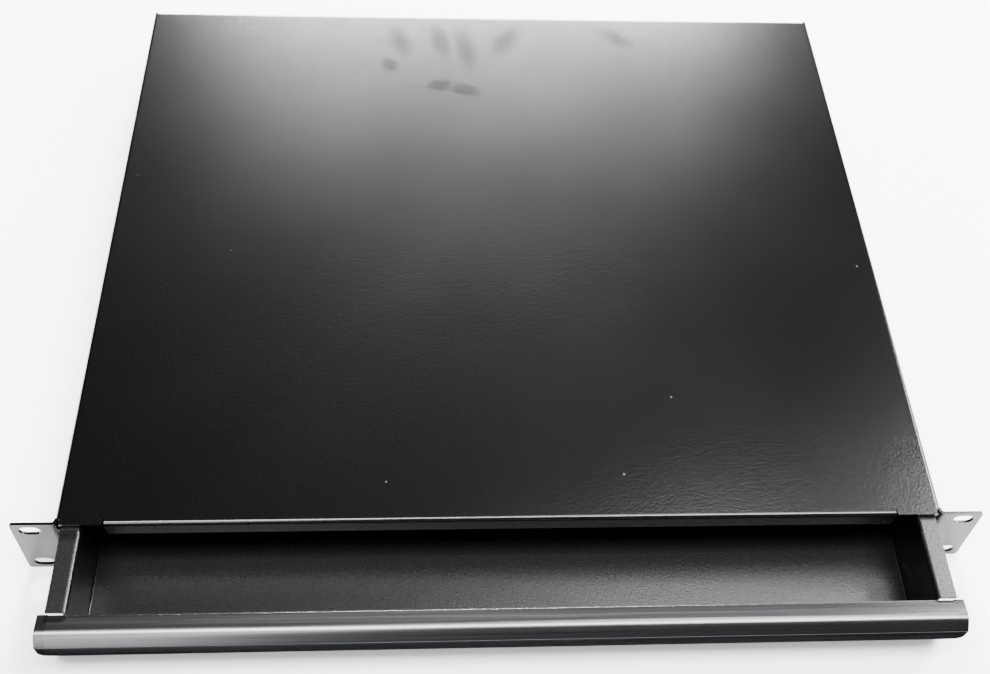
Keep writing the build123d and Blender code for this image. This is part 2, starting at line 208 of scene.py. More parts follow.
def dust_specks(name):
    """Sparse specks of dust on a surface: a mask."""
    tree, given, result = open_group(
        name,
        [
            ("Vector", "NodeSocketVector", None),
            ("Spacing", "NodeSocketFloat", 0.03),
            ("Speck Size", "NodeSocketFloat", 0.0005),
        ],
        [("Mask", "NodeSocketFloat")],
    )
    scale = calculate(tree, "DIVIDE", 1.0, given.outputs["Spacing"])
    cells = add_node(
        tree,
        "ShaderNodeTexVoronoi",
        {"Vector": given.outputs["Vector"], "Scale": scale, "Randomness": 1.0},
        voronoi_dimensions="2D",
        feature="F1",
    )
    parts = add_node(tree, "ShaderNodeSeparateColor", {"Color": cells.outputs["Color"]})
    rare = remap(tree, parts.outputs["Red"], 0.93, 1.0)
    grown = calculate(tree, "MULTIPLY", rare, given.outputs["Speck Size"])
    far = calculate(tree, "MULTIPLY", cells.outputs["Distance"], given.outputs["Spacing"])
    near = calculate(tree, "LESS_THAN", far, grown)
    where = add_node(tree, "ShaderNodeNewGeometry")
    facing = add_node(tree, "ShaderNodeSeparateXYZ", {"Vector": where.outputs["Normal"]})
    level = calculate(tree, "GREATER_THAN", facing.outputs["Z"], 0.9)
    mask = calculate(tree, "MULTIPLY", near, level)
    tree.links.new(mask, result.inputs["Mask"])
    return tree


def hand_smudge(name):
    """A soft touch mark, an oval turned about Z: a mask."""
    tree, given, result = open_group(
        name,
        [
            ("Vector", "NodeSocketVector", None),
            ("Centre", "NodeSocketVector", (0.0, 0.0, 0.0)),
            ("Reach", "NodeSocketVector", (0.01, 0.02, 1.0)),
            ("Turn", "NodeSocketVector", (0.0, 0.0, 0.0)),
        ],
        [("Mask", "NodeSocketFloat")],
    )
    placed = add_node(
        tree,
        "ShaderNodeMapping",
        {
            "Vector": given.outputs["Vector"],
            "Location": given.outputs["Centre"],
            "Rotation": given.outputs["Turn"],
            "Scale": given.outputs["Reach"],
        },
        vector_type="TEXTURE",
    )
    wave = add_node(tree, "ShaderNodeTexNoise", {"Vector": placed.outputs["Vector"], "Scale": 1.4})
    length = add_node(tree, "ShaderNodeVectorMath", {0: placed.outputs["Vector"]}, operation="LENGTH")
    edge = calculate(tree, "MULTIPLY_ADD", wave.outputs["Fac"], 0.5)
    tree.links.new(length.outputs["Value"], edge.node.inputs[2])
    mask = remap(tree, edge, 1.25, 0.7)
    tree.links.new(mask, result.inputs["Mask"])
    return tree


def use_group(tree, name, build, inputs):
    """Places a shared effect in a material with its own values."""
    return add_node(tree, "ShaderNodeGroup", inputs, node_tree=once(name, build))


# Finishes


def start_finish(name, rough, metal=0.0, sheen_level=0.5):
    """A material with a Principled BSDF, and coordinates in metres on the piece."""
    material = bpy.data.materials.new(name)
    material.use_nodes = True
    tree = material.node_tree
    shader = tree.nodes["Principled BSDF"]
    shader.inputs["Roughness"].default_value = rough
    shader.inputs["Metallic"].default_value = metal
    shader.inputs["Specular IOR Level"].default_value = sheen_level
    where = add_node(tree, "ShaderNodeTexCoord")
    mapping = add_node(tree, "ShaderNodeMapping", {"Vector": where.outputs["Object"]})
    return material, tree, shader, mapping


def add_bump(tree, shader, height, depth, strength=1.0):
    """Feeds a height, whose full range is depth in metres, to the shader's normal."""
    bump = add_node(tree, "ShaderNodeBump", {"Height": height, "Distance": depth, "Strength": strength})
    tree.links.new(bump.outputs["Normal"], shader.inputs["Normal"])


def case_powder_coat(colours, sizes):
    """Satin black powder coat of the case, with touch marks and a few specks of dust."""
    material, tree, shader, mapping = start_finish("satin_black_powder_coat", 0.19, sheen_level=0.38)
    vector = mapping.outputs["Vector"]
    grain = use_group(
        tree, "Powder Grain", powder_grain, {"Vector": vector, "Grain Size": sizes.case_grain}
    )
    smudges = None
    for across, back, width, length, turn in (
        (-0.0315, 0.313, 0.007, 0.01, -1.2),
        (-0.0156, 0.3086, 0.012, 0.007, -0.3),
        (-0.0638, 0.3316, 0.007, 0.009, 0.4),
        (-0.0578, 0.356, 0.008, 0.018, 0.35),
        (-0.0311, 0.356, 0.008, 0.02, 0.25),
        (-0.0146, 0.348, 0.008, 0.024, 0.2),
        (0.0116, 0.356, 0.009, 0.02, -0.5),
        (0.086, 0.361, 0.007, 0.017, 0.9),
    ):
        placed = {"Vector": vector, "Centre": (across, back, 0.0), "Reach": (width, length, 1.0)}
        placed["Turn"] = (0.0, 0.0, turn)
        mark = use_group(tree, "Hand Smudge", hand_smudge, placed).outputs["Mask"]
        smudges = mark if smudges is None else calculate(tree, "MAXIMUM", smudges, mark)
    dust = use_group(
        tree, "Dust Specks", dust_specks, {"Vector": vector, "Spacing": 0.03, "Speck Size": 0.0007}
    )
    cloud = add_node(tree, "ShaderNodeTexNoise", {"Vector": vector, "Scale": 9.0, "Detail": 2.0})
    # Flecks of a lighter colour: partly grain tone, partly painted glints on the coat
    coat = blend_colours(tree, grain.outputs["Grain Tone And Painted Glint"], colours.coat, colours.coat_grain_and_glint)
    marked = blend_colours(tree, smudges, coat, colours.smudge)
    dusty = blend_colours(tree, dust.outputs["Mask"], marked, colours.dust)
    tree.links.new(dusty, shader.inputs["Base Color"])
    rough = remap(tree, cloud.outputs["Fac"], 0.3, 0.7, 0.185, 0.2)
    rubbed = calculate(tree, "MULTIPLY_ADD", smudges, -0.03)
    tree.links.new(rough, rubbed.node.inputs[2])
    tree.links.new(rubbed, shader.inputs["Roughness"])
    add_bump(tree, shader, grain.outputs["Height"], 0.00004)
    return material


def tray_powder_coat(colours, sizes):
    """Textured black powder coat of the tray, coarser than the case's."""
    material, tree, shader, mapping = start_finish("textured_black_powder_coat", 0.3)
    vector = mapping.outputs["Vector"]
    grain = use_group(
        tree, "Powder Grain", powder_grain, {"Vector": vector, "Grain Size": sizes.tray_grain}
    )
    # Flecks of a lighter colour: partly grain tone, partly painted glints on the coat
    coat = blend_colours(tree, grain.outputs["Grain Tone And Painted Glint"], colours.coat, colours.coat_grain_and_glint)
    tree.links.new(coat, shader.inputs["Base Color"])
    rough = remap(tree, grain.outputs["Height"], 0.2, 1.1, 0.32, 0.26)
    tree.links.new(rough, shader.inputs["Roughness"])
    add_bump(tree, shader, grain.outputs["Height"], 0.00005)
    return material


def anodised_bar(colours, sizes):
    """Black anodised extrusion with a fine lengthwise grain."""
    material, tree, shader, mapping = start_finish("black_anodised", 0.22, metal=1.0)
    shader.inputs["Specular Tint"].default_value = (0.04, 0.04, 0.04, 1.0)
    streaks = use_group(
        tree,
        "Drawn Streaks",
        drawn_streaks,
        {
            "Vector": mapping.outputs["Vector"],
            "Streak Width": sizes.streak_width,
            "Streak Length": sizes.streak_length,
        },
    )
    shade = remap(tree, streaks.outputs["Shade"], 0.3, 0.7)
    colour = blend_colours(tree, shade, colours.bar_dark, colours.bar_light)
    tree.links.new(colour, shader.inputs["Base Color"])
    rough = remap(tree, streaks.outputs["Shade"], 0.3, 0.7, 0.21, 0.29)
    tree.links.new(rough, shader.inputs["Roughness"])
    add_bump(tree, shader, streaks.outputs["Height"], 0.000006)
    return material


def cap_plastic(colours, sizes):
    """Satin black end caps that match the bar, with a finer, cloudier skin."""
    material, tree, shader, mapping = start_finish("satin_end_cap", 0.25, metal=1.0)
    shader.inputs["Specular Tint"].default_value = (0.04, 0.04, 0.04, 1.0)
    grain = use_group(
        tree,
        "Powder Grain",
        powder_grain,
        {"Vector": mapping.outputs["Vector"], "Grain Size": 0.0005},
    )
    # Flecks of the bar's light tone: partly grain tone, partly painted glints on the caps
    colour = blend_colours(tree, grain.outputs["Grain Tone And Painted Glint"], colours.plastic, colours.bar_light)
    tree.links.new(colour, shader.inputs["Base Color"])
    rough = remap(tree, grain.outputs["Height"], 0.2, 1.1, 0.28, 0.22)
    tree.links.new(rough, shader.inputs["Roughness"])
    add_bump(tree, shader, grain.outputs["Height"], 0.00001)
    return material


def drawn_steel(name, light, dark, rough_low, rough_high, spangle):
    """Plated or bare rolled steel, drawn along the slide."""
    material, tree, shader, mapping = start_finish(name, rough_low, metal=1.0)
    mapping.inputs["Rotation"].default_value = (0.0, 0.0, math.pi / 2)
    vector = mapping.outputs["Vector"]
    streaks = use_group(
        tree,
        "Drawn Streaks",
        drawn_streaks,
        {"Vector": vector, "Streak Width": 0.0005, "Streak Length": 0.03},
    )
    flakes = add_node(tree, "ShaderNodeTexVoronoi", {"Vector": vector, "Scale": 1.0 / spangle})
    parts = add_node(tree, "ShaderNodeSeparateColor", {"Color": flakes.outputs["Color"]})
    share = calculate(tree, "MULTIPLY_ADD", parts.outputs["Red"], 0.35)
    streaky = calculate(tree, "MULTIPLY", streaks.outputs["Shade"], 0.65)
    tree.links.new(streaky, share.node.inputs[2])
    colour = blend_colours(tree, share, dark, light)
    tree.links.new(colour, shader.inputs["Base Color"])
    rough = remap(tree, share, 0.2, 0.8, rough_high, rough_low)
    tree.links.new(rough, shader.inputs["Roughness"])
    add_bump(tree, shader, streaks.outputs["Height"], 0.00001)
    return material


def polished_balls(colours, sizes):
    """Hardened steel balls under a thin film of grease."""
    material, tree, shader, mapping = start_finish("polished_ball_steel", 0.12, metal=1.0)
    film = add_node(
        tree, "ShaderNodeTexNoise", {"Vector": mapping.outputs["Vector"], "Scale": 700.0, "Detail": 3.0}
    )
    colour = blend_colours(tree, film.outputs["Fac"], colours.steel_dark, colours.steel_light)
    tree.links.new(colour, shader.inputs["Base Color"])
    rough = remap(tree, film.outputs["Fac"], 0.3, 0.7, 0.07, 0.22)
    tree.links.new(rough, shader.inputs["Roughness"])
    return material


def bumper_rubber(colours, sizes):
    """Matt black rubber with a faint bloom."""
    material, tree, shader, mapping = start_finish("matt_black_rubber", 0.75, sheen_level=0.35)
    vector = mapping.outputs["Vector"]
    grain = use_group(tree, "Powder Grain", powder_grain, {"Vector": vector, "Grain Size": 0.0007})
    bloom = add_node(tree, "ShaderNodeTexNoise", {"Vector": vector, "Scale": 260.0, "Detail": 3.0})
    share = remap(tree, bloom.outputs["Fac"], 0.45, 0.75)
    colour = blend_colours(tree, share, colours.rubber, colours.rubber_bloom)
    tree.links.new(colour, shader.inputs["Base Color"])
    add_bump(tree, shader, grain.outputs["Height"], 0.00008)
    return material


def blackened_steel(colours, sizes):
    """Black oxide of the screws, rubbed a little bright in patches."""
    material, tree, shader, mapping = start_finish("black_oxide_steel", 0.34, metal=1.0)
    vector = mapping.outputs["Vector"]
    patches = add_node(
        tree, "ShaderNodeTexNoise", {"Vector": vector, "Scale": 420.0, "Detail": 4.0, "Roughness": 0.65}
    )
    share = remap(tree, patches.outputs["Fac"], 0.52, 0.78)
    colour = blend_colours(tree, share, colours.oxide, colours.oxide_rubbed)
    tree.links.new(colour, shader.inputs["Base Color"])
    rough = remap(tree, patches.outputs["Fac"], 0.3, 0.7, 0.42, 0.28)
    tree.links.new(rough, shader.inputs["Roughness"])
    add_bump(tree, shader, patches.outputs["Fac"], 0.00002)
    return material


def pale_floor(colours, sizes):
    """Plain pale studio floor."""
    material, tree, shader, mapping = start_finish("pale_floor", 0.9, sheen_level=0.1)
    tone = add_node(tree, "ShaderNodeTexNoise", {"Vector": mapping.outputs["Vector"], "Scale": 1.5})
    deeper = tuple(0.985 * part for part in colours.floor[:3]) + (1.0,)
    colour = blend_colours(tree, tone.outputs["Fac"], colours.floor, deeper)
    tree.links.new(colour, shader.inputs["Base Color"])
    return material


def finish(builder, colours, sizes):
    """The material that a builder makes, made only once."""
    key = "made_by_" + builder.__name__
    scene = bpy.context.scene
    if key not in scene:
        scene[key] = builder(colours, sizes).name
    return bpy.data.materials[scene[key]]


def zinc_plating(colours, sizes):
    """Bright zinc plating of the slide members and nuts."""
    return drawn_steel("bright_zinc_plate", colours.zinc_light, colours.zinc_dark, 0.24, 0.38, 0.0035)


def pressed_cage_steel(colours, sizes):
    """Plain pressed steel of the ball cages."""
    return drawn_steel("pressed_cage_steel", colours.cage_light, colours.cage_dark, 0.3, 0.44, 0.006)


def coat_nodes(names, material):
    """Gives frame nodes one finish."""
    for name in names:
        mesh = NODES[name].data
        mesh.materials.clear()
        mesh.materials.append(material)


# Geometry trees


def screw_tree(name):
    """Pan-head screws with a cross recess, one on each point, along the point's direction."""
    sizes = (
        ("Head Radius", 0.004),
        ("Head Height", 0.0018),
        ("Shank Radius", 0.002),
        ("Shank Length", 0.004),
        ("Recess Width", 0.0008),
        ("Recess Depth", 0.0011),
    )
    tree, given, result = open_group(
        name,
        [("Geometry", "NodeSocketGeometry", None)]
        + [(label, "NodeSocketFloat", value) for label, value in sizes]
        + [("Finish", "NodeSocketMaterial", None)],
        [("Geometry", "NodeSocketGeometry")],
        "GeometryNodeTree",
    )
    size = given.outputs

    def moved(geometry, height):
        """Geometry shifted along the screw's axis."""
        shift = add_node(tree, "ShaderNodeCombineXYZ", {"Z": height})
        inputs = {"Geometry": geometry, "Translation": shift.outputs["Vector"]}
        return add_node(tree, "GeometryNodeTransform", inputs).outputs["Geometry"]

    half_head = calculate(tree, "MULTIPLY", size["Head Height"], 0.5)
    rim = add_node(
        tree,
        "GeometryNodeMeshCylinder",
        {"Vertices": 32, "Radius": size["Head Radius"], "Depth": size["Head Height"]},
    )
    dome = add_node(tree, "GeometryNodeMeshUVSphere", {"Segments": 32, "Rings": 24, "Radius": 1.0})
    dome_reach = calculate(tree, "MULTIPLY", size["Head Radius"], 1.16)
    dome_rise = calculate(tree, "MULTIPLY", size["Head Height"], 0.999)
    dome_scale = add_node(
        tree, "ShaderNodeCombineXYZ", {"X": dome_reach, "Y": dome_reach, "Z": dome_rise}
    )
    dome = add_node(
        tree,
        "GeometryNodeTransform",
        {"Geometry": dome.outputs["Mesh"], "Scale": dome_scale.outputs["Vector"]},
    )
    head = add_node(tree, "GeometryNodeMeshBoolean", operation="INTERSECT", solver="EXACT")
    tree.links.new(moved(rim.outputs["Mesh"], half_head), head.inputs["Mesh 2"])
    tree.links.new(dome.outputs["Geometry"], head.inputs["Mesh 2"])
    shank = add_node(
        tree,
        "GeometryNodeMeshCylinder",
        {"Vertices": 24, "Radius": size["Shank Radius"], "Depth": size["Shank Length"]},
    )
    sunk = calculate(tree, "MULTIPLY", size["Shank Length"], -0.5)
    whole = add_node(tree, "GeometryNodeMeshBoolean", operation="UNION", solver="EXACT")
    tree.links.new(head.outputs["Mesh"], whole.inputs["Mesh 2"])
    tree.links.new(moved(shank.outputs["Mesh"], sunk), whole.inputs["Mesh 2"])
    reach = calculate(tree, "MULTIPLY", size["Head Radius"], 1.15)
    arms = []
    for pair in (("X", "Y"), ("Y", "X")):
        box_size = add_node(
            tree,
            "ShaderNodeCombineXYZ",
            {pair[0]: reach, pair[1]: size["Recess Width"], "Z": size["Recess Depth"]},
        )
        box = add_node(tree, "GeometryNodeMeshCube", {"Size": box_size.outputs["Vector"]})
        middle = calculate(tree, "MULTIPLY_ADD", size["Recess Depth"], -0.5)
        level = calculate(tree, "MULTIPLY", size["Head Height"], 1.0)
        lifted = calculate(tree, "MULTIPLY_ADD", size["Recess Depth"], 0.02)
        tree.links.new(level, middle.node.inputs[2])
        tree.links.new(middle, lifted.node.inputs[2])
        arms.append(moved(box.outputs["Mesh"], lifted))
    cut = add_node(tree, "GeometryNodeMeshBoolean", operation="DIFFERENCE", solver="EXACT")
    tree.links.new(whole.outputs["Mesh"], cut.inputs["Mesh 1"])
    for arm in arms:
        tree.links.new(arm, cut.inputs["Mesh 2"])
    direction = add_node(
        tree, "GeometryNodeInputNamedAttribute", {"Name": "direction"}, data_type="FLOAT_VECTOR"
    )
    turn = add_node(
        tree,
        "FunctionNodeAlignRotationToVector",
        {"Vector": direction.outputs["Attribute"]},
        axis="Z",
    )
    spread = add_node(
        tree,
        "GeometryNodeInstanceOnPoints",
        {
            "Points": size["Geometry"],
            "Instance": cut.outputs["Mesh"],
            "Rotation": turn.outputs["Rotation"],
        },
    )
    real = add_node(tree, "GeometryNodeRealizeInstances", {"Geometry": spread.outputs["Instances"]})
    painted = add_node(
        tree,
        "GeometryNodeSetMaterial",
        {"Geometry": real.outputs["Geometry"], "Material": size["Finish"]},
    )
    tree.links.new(painted.outputs["Geometry"], result.inputs["Geometry"])
    return tree


def bar_tree(name):
    """Hollow extrusion: the outline's corners are rounded, filled between, and drawn out along X."""
    tree, given, result = open_group(
        name,
        [
            ("Geometry", "NodeSocketGeometry", None),
            ("Length", "NodeSocketFloat", 0.44),
            ("Corner Steps", "NodeSocketInt", 12),
            ("Finish", "NodeSocketMaterial", None),
        ],
        [("Geometry", "NodeSocketGeometry")],
        "GeometryNodeTree",
    )
    radius = add_node(tree, "GeometryNodeInputRadius")
    rounded = add_node(
        tree,
        "GeometryNodeFilletCurve",
        {
            "Curve": given.outputs["Geometry"],
            "Radius": radius.outputs["Radius"],
            "Count": given.outputs["Corner Steps"],
            "Limit Radius": True,
        },
        mode="POLY",
    )
    section = add_node(tree, "GeometryNodeFillCurve", {"Curve": rounded.outputs["Curve"]}, mode="NGONS")
    half = calculate(tree, "MULTIPLY", given.outputs["Length"], -0.5)
    start = add_node(tree, "ShaderNodeCombineXYZ", {"Z": half})
    placed = add_node(
        tree,
        "GeometryNodeTransform",
        {"Geometry": section.outputs["Mesh"], "Translation": start.outputs["Vector"]},
    )
    drawn = add_node(
        tree,
        "GeometryNodeExtrudeMesh",
        {
            "Mesh": placed.outputs["Geometry"],
            "Offset": (0.0, 0.0, 1.0),
            "Offset Scale": given.outputs["Length"],
            "Individual": False,
        },
        mode="FACES",
    )
    back = add_node(tree, "GeometryNodeFlipFaces", {"Mesh": placed.outputs["Geometry"]})
    whole = add_node(tree, "GeometryNodeJoinGeometry")
    tree.links.new(back.outputs["Mesh"], whole.inputs["Geometry"])
    tree.links.new(drawn.outputs["Mesh"], whole.inputs["Geometry"])
    merged = add_node(
        tree,
        "GeometryNodeMergeByDistance",
        {"Geometry": whole.outputs["Geometry"], "Distance": 1e-6},
    )
    real = add_node(tree, "GeometryNodeRealizeInstances", {"Geometry": merged.outputs["Geometry"]})
    painted = add_node(
        tree,
        "GeometryNodeSetMaterial",
        {"Geometry": real.outputs["Geometry"], "Material": given.outputs["Finish"]},
    )
    tree.links.new(painted.outputs["Geometry"], result.inputs["Geometry"])
    return tree


def run_tree(start, name, tree, values, matrix=Matrix.Identity(4)):
    """Runs a geometry tree on an object and returns the result as a plain mesh object."""
    bpy.context.scene.collection.objects.link(start)
    modifier = start.modifiers.new(tree.name, "NODES")
    modifier.node_group = tree
    for item in tree.interface.items_tree:
        if item.in_out == "INPUT" and item.name in values:
            modifier[item.identifier] = values[item.name]
    depsgraph = bpy.context.evaluated_depsgraph_get()
    made = bpy.data.meshes.new_from_object(start.evaluated_get(depsgraph), depsgraph=depsgraph)
    start.modifiers.remove(modifier)
    bpy.data.objects.remove(start)
    made.transform(matrix)
    made.name = name
    piece = bpy.data.objects.new(name, made)
    bpy.context.scene.collection.objects.link(piece)
    if not made.polygons:
        raise RuntimeError(name + " came out empty")
    return piece


def smooth_by_angle(mesh, degrees):
    """Smooth faces, with edges sharper than the angle left crisp."""
    shape = bmesh.new()
    shape.from_mesh(mesh)
    limit = math.radians(degrees)
    for face in shape.faces:
        face.smooth = True
    for edge in shape.edges:
        edge.smooth = len(edge.link_faces) == 2 and edge.calc_face_angle(0.0) < limit
    shape.to_mesh(mesh)
    shape.free()


def node_islands(name):
    """Lowest and highest corners of each solid of a frame node."""
    shape = bmesh.new()
    shape.from_mesh(NODES[name].data)
    bmesh.ops.remove_doubles(shape, verts=shape.verts, dist=1e-6)
    left = set(shape.verts)
    boxes = []
    while left:
        stack = [left.pop()]
        corners = []
        while stack:
            vertex = stack.pop()
            corners.append(vertex.co.copy())
            for edge in vertex.link_edges:
                other = edge.other_vert(vertex)
                if other in left:
                    left.remove(other)
                    stack.append(other)
        boxes.append(
            (
                Vector([min(corner[axis] for corner in corners) for axis in range(3)]),
                Vector([max(corner[axis] for corner in corners) for axis in range(3)]),
            )
        )
    shape.free()
    return sorted(boxes, key=lambda pair: tuple(pair[0]))


def bar_outline(back, lip=0.0):
    """Corners of the bar's outline, drawn back behind the tray's front, or with a lip at the top."""
    foot = (-back, BAR_FOOT, 0.0)
    if not lip:
        return (foot, *BAR_FACE, (-back, BAR_BACK, 0.0004))
    return (foot, *BAR_FACE, (-lip, BAR_BACK, 0.0003), (-lip, LIP_UNDERSIDE, 0.0), (0.0, LIP_UNDERSIDE, 0.0))


def inner_corners(corners, wall):
    """Corners of an outline moved inwards by a wall."""
    moved = []
    for index, (depth, height, radius) in enumerate(corners):
        here = Vector((depth, height))
        before = (here - Vector(corners[index - 1][:2])).normalized()
        after = (Vector(corners[(index + 1) % len(corners)][:2]) - here).normalized()
        inward = Vector((-before.y - after.y, before.x + after.x)).normalized()
        share = wall / abs(inward.dot(Vector((-before.y, before.x))))
        moved.append((*(here + inward * share), max(radius - wall, 0.0)))
    return moved


def outline_curve(name, outlines):
    """A curve object with one closed line for each outline, radii kept on the points."""
    curve = bpy.data.curves.new(name, "CURVE")
    curve.dimensions = "3D"
    for corners in outlines:
        line = curve.splines.new("POLY")
        line.points.add(len(corners) - 1)
        line.use_cyclic_u = True
        for point, (depth, height, radius) in zip(line.points, corners):
            point.co = (depth, height, 0.0, 1.0)
            point.radius = radius
    return bpy.data.objects.new(name, curve)


def outline_points(corners, steps=6):
    """Points of a closed outline, each corner rounded to its radius."""
    points = []
    for index, (depth, height, radius) in enumerate(corners):
        here = Vector((depth, height))
        before = (Vector(corners[index - 1][:2]) - here).normalized()
        after = (Vector(corners[(index + 1) % len(corners)][:2]) - here).normalized()
        half = before.angle(after) / 2
        middle = here + (before + after).normalized() * radius / math.sin(half)
        first = here + before * radius / math.tan(half) - middle
        last = here + after * radius / math.tan(half) - middle
        for step in range(steps + 1):
            arm = first.lerp(last, step / steps)
            points.append(middle + arm.normalized() * radius)
    return points


def end_cap(name, side, end, root, length, material):
    """Moulded cap: the bar's outline, rounded up at its lower front corner, with a tab behind."""
    shape = bmesh.new()
    rings = []
    edge = 0.0003
    for along in (0.0, edge, 0.0008, 0.0016, 0.0026, 0.0036, CAP_ROUND, length):
        short = max(CAP_ROUND - along, 0.0)
        cut = CAP_ROUND - math.sqrt(CAP_ROUND**2 - short**2)
        corners = [
            (depth, height + (cut if height < BAR_FACE[2][1] else 0.0), radius)
            for depth, height, radius in bar_outline(CAP_BACK)
        ]
        corners = inner_corners(corners, edge) if not along else corners
        place = side * (end - along)
        rings.append([shape.verts.new((place, root - d, h)) for d, h in outline_points(corners)])
    for low, high in zip(rings, rings[1:]):
        for index in range(len(low)):
            shape.faces.new((low[index - 1], low[index], high[index], high[index - 1]))
    shape.faces.new(rings[0])
    shape.faces.new(rings[-1])
    tab = bmesh.ops.create_cube(shape, size=1.0)["verts"]
    tab_low = Vector((TAB_REACH, root + 0.0001, 0.011))
    tab_high = Vector((end - length, root + CAP_BACK - 0.0002, BAR_BACK - 0.0006))
    for vertex in tab:
        share = vertex.co + Vector((0.5, 0.5, 0.5))
        vertex.co = [low + part * (high - low) for low, high, part in zip(tab_low, tab_high, share)]
        vertex.co.x *= side
    bmesh.ops.recalc_face_normals(shape, faces=shape.faces)
    mesh = bpy.data.meshes.new(name)
    shape.to_mesh(mesh)
    shape.free()
    mesh.materials.append(material)
    piece = bpy.data.objects.new(name, mesh)
    bpy.context.scene.collection.objects.link(piece)
    return piece


def screw_seats(name, outward, shank_length):
    """Middles of the seats under the heads of a node's screws, and their directions."""
    seats = []
    for low, high in node_islands(name):
        direction = outward(low, high)
        middle = (low + high) / 2
        tip = middle - direction * (high - low).dot(Vector(map(abs, direction))) / 2
        seats.append((tip + direction * shank_length, direction))
    return seats


def set_screws(name, seats, values, material, body, nodes):
    """One mesh with a screw on each seat, riding on a body and standing for its frame nodes."""
    mesh = bpy.data.meshes.new(name + "_seats")
    mesh.from_pydata([seat for seat, direction in seats], [], [])
    mesh.attributes.new("direction", "FLOAT_VECTOR", "POINT")
    for item, (seat, direction) in zip(mesh.attributes["direction"].data, seats):
        item.vector = direction
    start = bpy.data.objects.new(name + "_seats", mesh)
    tree = once("Pan Head Screws", screw_tree)
    piece = run_tree(start, name, tree, {**values, "Finish": material})
    smooth_by_angle(piece.data, 35.0)
    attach(piece, body)
    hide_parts(*nodes)
    return piece


# What a user would change


def colour_property(name, description, red, green, blue):
    """A colour with its default."""
    return bpy.props.FloatVectorProperty(
        name=name,
        description=description,
        default=(red, green, blue, 1.0),
        min=0.0,
        max=1.0,
        size=4,
        subtype="COLOR",
    )


def length_property(name, description, value):
    """A length in metres with its default."""
    return bpy.props.FloatProperty(
        name=name, description=description, default=value, min=0.0, precision=5, unit="LENGTH"
    )


class RackDrawerSizes(bpy.types.PropertyGroup):
    """Sizes of the finishes and of the pieces that are built here."""

    case_grain: length_property("Case grain", "Size of the pebbles of the case's powder coat", 0.0012)
    tray_grain: length_property("Tray grain", "Size of the pebbles of the tray's powder coat", 0.0009)
    streak_width: length_property("Streak width", "Width of the bar's lengthwise streaks", 0.0006)
    streak_length: length_property("Streak length", "Length of the bar's lengthwise streaks", 0.09)
    slide_screw_head: length_property("Slide screw head", "Radius of the slide screws' heads", 0.004)
    slide_screw_rise: length_property("Slide screw rise", "Height of the slide screws' heads", 0.0018)
    slide_screw_shank: length_property("Slide screw shank", "Radius of the slide screws' shanks", 0.002)
    base_screw_head: length_property("Base screw head", "Radius of the base screws' heads", 0.0028)
    base_screw_rise: length_property("Base screw rise", "Height of the base screws' heads", 0.0017)
    base_screw_shank: length_property("Base screw shank", "Radius of the base screws' shanks", 0.0015)
    bar_screw_head: length_property("Bar screw head", "Radius of the bar screws' heads", 0.0038)
    bar_screw_rise: length_property("Bar screw rise", "Height of the bar screws' heads", 0.0022)
    bar_wall: length_property("Bar wall", "Wall of the handle bar", 0.0016)
    floor_reach: length_property("Floor reach", "Half the side of the studio floor", 6.0)


class RackDrawerColours(bpy.types.PropertyGroup):
    """Colours of the finishes."""

    coat: colour_property("Coat", "Black powder coat", 0.0003, 0.0004, 0.00035)
    # Colour of the coat's lighter flecks: partly grain tone, partly painted glints
    coat_grain_and_glint: colour_property("Coat grain and painted glints", "Raised grain of the powder coat", 0.0012, 0.0014, 0.0013)
    smudge: colour_property("Smudge", "Touch marks on the top", 0.002, 0.0014, 0.0016)
    dust: colour_property("Dust", "Specks of dust", 0.035, 0.036, 0.035)
    bar_dark: colour_property("Bar, dark streaks", "Dark streaks of the handle bar", 0.05, 0.051, 0.054)
    bar_light: colour_property("Bar, light streaks", "Light streaks of the bar", 0.095, 0.097, 0.1)
    plastic: colour_property("End caps", "Satin end caps", 0.062, 0.063, 0.066)
    zinc_light: colour_property("Zinc, light", "Light flakes of the plating", 0.72, 0.73, 0.74)
    zinc_dark: colour_property("Zinc, dark", "Dark flakes of the plating", 0.45, 0.47, 0.5)
    cage_light: colour_property("Cage, light", "Light streaks of the cages", 0.6, 0.6, 0.6)
    cage_dark: colour_property("Cage, dark", "Dark streaks of the cages", 0.34, 0.34, 0.35)
    steel_light: colour_property("Balls, bright", "Bare ball steel", 0.82, 0.82, 0.83)
    steel_dark: colour_property("Balls, greased", "Ball steel under grease", 0.55, 0.53, 0.47)
    rubber: colour_property("Rubber", "Rubber of the bumpers", 0.012, 0.012, 0.012)
    rubber_bloom: colour_property("Rubber bloom", "Faint bloom on the rubber", 0.045, 0.045, 0.043)
    oxide: colour_property("Screws", "Black oxide of the screws", 0.035, 0.036, 0.04)
    oxide_rubbed: colour_property("Screws, rubbed", "Rubbed patches of the screws", 0.19, 0.19, 0.2)
    floor: colour_property("Floor", "Studio floor", 0.86, 0.86, 0.86)


def settings():
    """The scene's sizes and colours."""
    scene = bpy.context.scene
    return scene.rack_drawer_sizes, scene.rack_drawer_colours


# Operators


